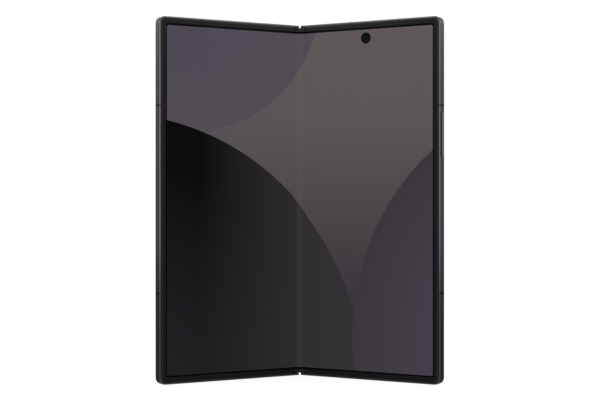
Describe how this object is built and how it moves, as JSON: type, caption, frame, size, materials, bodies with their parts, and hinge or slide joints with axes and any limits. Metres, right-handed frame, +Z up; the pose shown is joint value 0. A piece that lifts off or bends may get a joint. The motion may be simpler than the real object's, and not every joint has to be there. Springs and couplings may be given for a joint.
{
  "type": "foldable smartphone",
  "caption": "Book-style foldable phone, standing part open: two thin halves on a geared twin-pivot spine, a bending inner display, keys, card tray and raised rear camera island.",
  "frame": {"origin": "middle of the phone's footprint at the level that its two bottom edges stand on, at the rest angle of 116 degrees", "axes": "+Z up along the fold, -Y the way the inner display faces, +X towards the half with the rear cameras"},
  "size_m": [0.1242, 0.041, 0.1584],
  "materials": {
    "frame_metal": "dark anodised aluminium, satin",
    "bezel_polymer": "dark matt polymer",
    "antenna_polymer": "dark matt polymer",
    "display": "lit flexible display under a glossy film",
    "cover_glass_black": "black-backed glass",
    "rear_glass": "satin etched glass, dark",
    "lens_glass": "coated dark glass",
    "steel": "bare steel",
    "hinge_metal": "dark polished metal",
    "magnesium": "die-cast plate",
    "board": "circuit board",
    "battery": "pouch cell",
    "copper": "copper traces and coil",
    "black_polymer": "black moulded parts",
    "seal": "adhesive gasket",
    "flash": "diffuser lens"
  },
  "bodies": {
    "spine": {"hinge_spine_cover": "hinge_metal", "hinge_end_caps": "black_polymer", "hinge_brackets": "steel", "pivot_pins": "steel", "idler_pins": "steel", "detent_cams": "steel", "detent_springs": "steel", "hinge_screws": "steel", "hinge_flex_cable": "copper", "inner_display_fold": "display"},
    "main_half": {"main_frame": "frame_metal", "main_midplate": "magnesium", "main_bezel": "bezel_polymer", "main_antenna_breaks": "antenna_polymer", "main_hinge_arms": "steel", "main_arm_screws": "steel", "inner_display_right": "display", "display_support_right": "steel", "inner_camera": "black_polymer", "rear_cover": "rear_glass", "rear_cover_seal": "seal", "camera_island": "frame_metal", "camera_lens_rings": "frame_metal", "camera_lens_glasses": "lens_glass", "camera_modules": "black_polymer", "flash_lens": "flash", "main_board": "board", "board_shields": "steel", "main_battery": "battery", "charging_coil": "copper", "charging_board": "board", "usb_c_receptacle": "steel", "bottom_speaker": "black_polymer", "vibration_motor": "steel", "key_switches": "steel", "main_magnets": "steel"},
    "cover_half": {"cover_frame": "frame_metal", "cover_midplate": "magnesium", "cover_bezel": "bezel_polymer", "cover_antenna_breaks": "antenna_polymer", "cover_hinge_arms": "steel", "cover_arm_screws": "steel", "inner_display_left": "display", "display_support_left": "steel", "cover_glass": "cover_glass_black", "cover_glass_seal": "seal", "cover_display_panel": "cover_glass_black", "cover_camera": "black_polymer", "top_speaker": "black_polymer", "cover_battery": "battery", "sub_board": "board", "sim_reader": "steel", "cover_magnets": "steel"},
    "idlers_right": {"idler_gears_right": "steel"},
    "idlers_left": {"idler_gears_left": "steel"},
    "volume_key": {"volume_key": "frame_metal"},
    "side_key": {"side_key": "frame_metal"},
    "sim_tray": {"sim_tray": "frame_metal"}
  },
  "joints": [
    {"name": "main_fold", "type": "hinge", "parent": "spine", "child": "main_half", "pos_m": [0.002, 0.0176, 0.0792], "axis": [0, 0, -1], "range_deg": [-32, 58], "deforming": ["inner_display_fold", "hinge_flex_cable"]},
    {"name": "cover_fold", "type": "hinge", "parent": "spine", "child": "cover_half", "pos_m": [-0.002, 0.0176, 0.0792], "axis": [0, 0, 1], "range_deg": [-32, 58]},
    {"name": "idler_right_spin", "type": "hinge", "parent": "spine", "child": "idlers_right", "pos_m": [0.00055, 0.0176, 0.0231], "axis": [0, 0, 1], "range_deg": [-53, 96]},
    {"name": "idler_left_spin", "type": "hinge", "parent": "spine", "child": "idlers_left", "pos_m": [-0.00055, 0.0176, 0.0231], "axis": [0, 0, -1], "range_deg": [-53, 96]},
    {"name": "volume_rock", "type": "hinge", "parent": "main_half", "child": "volume_key", "pos_m": [0.05926, -0.01795, 0.10745], "axis": [0.5299, 0.848, 0], "range_deg": [-1.2, 1.2], "stiffness_Nm_per_rad": 0.3},
    {"name": "side_press", "type": "slide", "parent": "main_half", "child": "side_key", "axis": [-0.848, 0.5299, 0], "range_m": [0, 0.0002], "stiffness_N_per_m": 5000},
    {"name": "tray_slide", "type": "slide", "parent": "cover_half", "child": "sim_tray", "axis": [0, 0, 1], "range_m": [0, 0.0215]}
  ],
  "couplings": [
    {"joint": "cover_fold", "follows": "main_fold", "ratio": 1},
    {"joint": "idler_right_spin", "follows": "main_fold", "ratio": 1.6364},
    {"joint": "idler_left_spin", "follows": "main_fold", "ratio": 1.6364}
  ]
}
